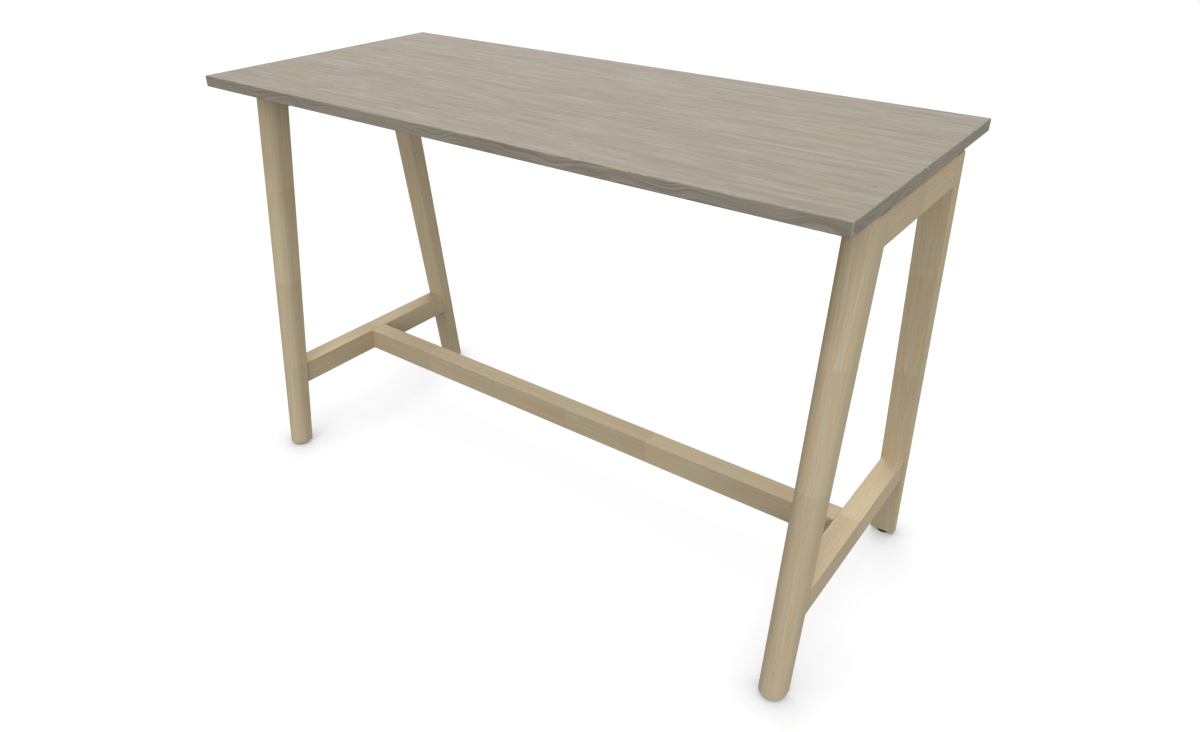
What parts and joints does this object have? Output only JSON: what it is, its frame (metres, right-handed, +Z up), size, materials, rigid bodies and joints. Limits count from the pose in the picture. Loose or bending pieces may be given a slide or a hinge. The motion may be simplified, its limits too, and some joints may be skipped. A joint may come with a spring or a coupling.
{
  "type": "high table",
  "caption": "High rectangular table: a wood-decor top held just clear of splayed wooden end frames, tied by a low stretcher, on screw levelling feet.",
  "frame": {"origin": "on the floor under the middle of the top", "axes": "+X along the length, +Y to the rear, +Z up"},
  "size_m": [1.6, 0.7, 1.05],
  "materials": {
    "top_decor": "matt wood-decor laminate, grey beige, streaks along the length",
    "edge_decor": "wood-decor edge band with crown grain",
    "oak": "satin lacquered pale wood, fine straight grain",
    "dowel_wood": "raw turned hardwood",
    "painted_steel": "matt black powder coat",
    "zinc_steel": "zinc plated",
    "black_plastic": "moulded black plastic"
  },
  "bodies": {
    "table": {"tabletop_board": "top_decor", "edge_band_front": "edge_decor", "edge_band_rear": "edge_decor", "edge_band_left": "edge_decor", "edge_band_right": "edge_decor", "leg_front_left": "oak", "leg_front_right": "oak", "leg_rear_left": "oak", "leg_rear_right": "oak", "upper_rail_left": "oak", "upper_rail_right": "oak", "lower_rail_left": "oak", "lower_rail_right": "oak", "stretcher": "oak", "frame_dowels": "dowel_wood", "stretcher_dowels": "dowel_wood", "beam_front": "painted_steel", "beam_rear": "painted_steel", "beam_plate_front_left": "painted_steel", "beam_plate_front_right": "painted_steel", "beam_plate_rear_left": "painted_steel", "beam_plate_rear_right": "painted_steel", "beam_bolts": "zinc_steel", "top_screws": "zinc_steel", "stretcher_studs": "zinc_steel", "half_moon_washers": "zinc_steel", "stretcher_nuts": "zinc_steel", "beam_insert_nuts": "zinc_steel", "stretcher_insert_nuts": "zinc_steel", "foot_insert_nuts": "zinc_steel"},
    "pad_front_left": {"foot_pad_front_left": "black_plastic"},
    "pad_front_right": {"foot_pad_front_right": "black_plastic"},
    "pad_rear_left": {"foot_pad_rear_left": "black_plastic"},
    "pad_rear_right": {"foot_pad_rear_right": "black_plastic"},
    "stem_front_left": {"foot_stem_front_left": "zinc_steel"},
    "stem_front_right": {"foot_stem_front_right": "zinc_steel"},
    "stem_rear_left": {"foot_stem_rear_left": "zinc_steel"},
    "stem_rear_right": {"foot_stem_rear_right": "zinc_steel"}
  },
  "joints": [
    {"name": "foot_lift_front_left", "type": "slide", "parent": "table", "child": "pad_front_left", "axis": [0, 0, -1], "range_m": [0, 0.0125]},
    {"name": "foot_turn_front_left", "type": "hinge", "parent": "pad_front_left", "child": "stem_front_left", "pos_m": [-0.767, -0.314, 0.008], "axis": [0, 0, -1], "range_deg": [0, 4680]},
    {"name": "foot_lift_front_right", "type": "slide", "parent": "table", "child": "pad_front_right", "axis": [0, 0, -1], "range_m": [0, 0.0125]},
    {"name": "foot_turn_front_right", "type": "hinge", "parent": "pad_front_right", "child": "stem_front_right", "pos_m": [0.767, -0.314, 0.008], "axis": [0, 0, -1], "range_deg": [0, 4680]},
    {"name": "foot_lift_rear_left", "type": "slide", "parent": "table", "child": "pad_rear_left", "axis": [0, 0, -1], "range_m": [0, 0.0125]},
    {"name": "foot_turn_rear_left", "type": "hinge", "parent": "pad_rear_left", "child": "stem_rear_left", "pos_m": [-0.767, 0.314, 0.008], "axis": [0, 0, -1], "range_deg": [0, 4680]},
    {"name": "foot_lift_rear_right", "type": "slide", "parent": "table", "child": "pad_rear_right", "axis": [0, 0, -1], "range_m": [0, 0.0125]},
    {"name": "foot_turn_rear_right", "type": "hinge", "parent": "pad_rear_right", "child": "stem_rear_right", "pos_m": [0.767, 0.314, 0.008], "axis": [0, 0, -1], "range_deg": [0, 4680]}
  ],
  "couplings": [
    {"joint": "foot_turn_front_left", "follows": "foot_lift_front_left", "rad_per_m": 5026.5},
    {"joint": "foot_turn_front_right", "follows": "foot_lift_front_right", "rad_per_m": 5026.5},
    {"joint": "foot_turn_rear_left", "follows": "foot_lift_rear_left", "rad_per_m": 5026.5},
    {"joint": "foot_turn_rear_right", "follows": "foot_lift_rear_right", "rad_per_m": 5026.5}
  ]
}
